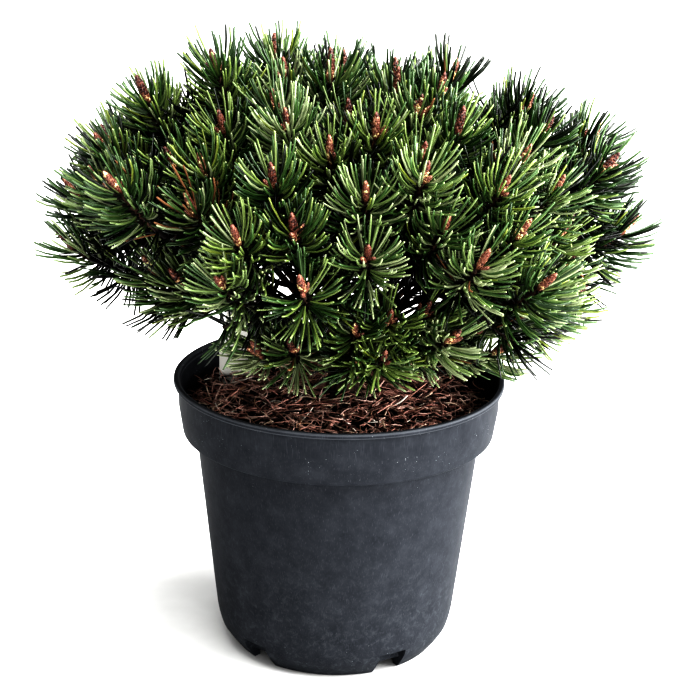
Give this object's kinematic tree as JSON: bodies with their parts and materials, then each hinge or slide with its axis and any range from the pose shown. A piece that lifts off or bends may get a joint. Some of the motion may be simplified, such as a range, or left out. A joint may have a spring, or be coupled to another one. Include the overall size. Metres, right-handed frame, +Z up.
{
  "type": "mugo pine in a nursery pot",
  "caption": "Dwarf mugo pine with a flat-topped dome of needle shoots, growing in a round black nursery pot on short feet, with a blank plant label.",
  "frame": {"origin": "on the pot's axis at the level that its feet stand on, under the middle of the crown", "axes": "+Z up, front of the plant towards -Y, +X to the right seen from the front"},
  "size_m": [0.4801, 0.4168, 0.4886],
  "materials": {
    "pot_plastic": "matt black moulded polypropylene, lightly scuffed and dusty",
    "bark_litter": "dark growing medium under fallen red-brown pine needles",
    "label_card": "cream plastic label, blank",
    "bark": "dark grey-brown scaly bark",
    "needles": "fresh to dark green pine needles with red-brown winter buds"
  },
  "bodies": {
    "root": {"pot": "pot_plastic", "growing_medium": "bark_litter", "plant_label": "label_card", "trunk": "bark", "bough_back_high": "bark", "bough_back_left": "bark", "bough_back_low": "bark", "bough_back_right": "bark", "bough_front_high": "bark", "bough_front_left": "bark", "bough_front_left_high": "bark", "bough_front_left_low": "bark", "bough_front_low": "bark", "bough_front_middle": "bark", "bough_front_right": "bark", "bough_front_right_high": "bark", "bough_left_high": "bark", "bough_left_side": "bark", "bough_left_top": "bark", "bough_low_left": "bark", "bough_low_middle": "bark", "bough_low_right": "bark", "bough_right_front": "bark", "bough_right_front_low": "bark", "bough_right_high": "bark", "bough_right_low": "bark", "bough_right_side": "bark", "bough_top_left": "bark", "bough_top_right": "bark", "mass_back_high": "needles", "mass_back_left": "needles", "mass_back_low": "needles", "mass_back_right": "needles", "mass_front_high": "needles", "mass_front_left": "needles", "mass_front_left_high": "needles", "mass_front_left_low": "needles", "mass_front_low": "needles", "mass_front_middle": "needles", "mass_front_right": "needles", "mass_front_right_high": "needles", "mass_left_high": "needles", "mass_left_side": "needles", "mass_left_top": "needles", "mass_low_left": "needles", "mass_low_middle": "needles", "mass_low_right": "needles", "mass_right_front": "needles", "mass_right_front_low": "needles", "mass_right_high": "needles", "mass_right_low": "needles", "mass_right_side": "needles", "mass_top_left": "needles", "mass_top_right": "needles"}
  },
  "joints": []
}
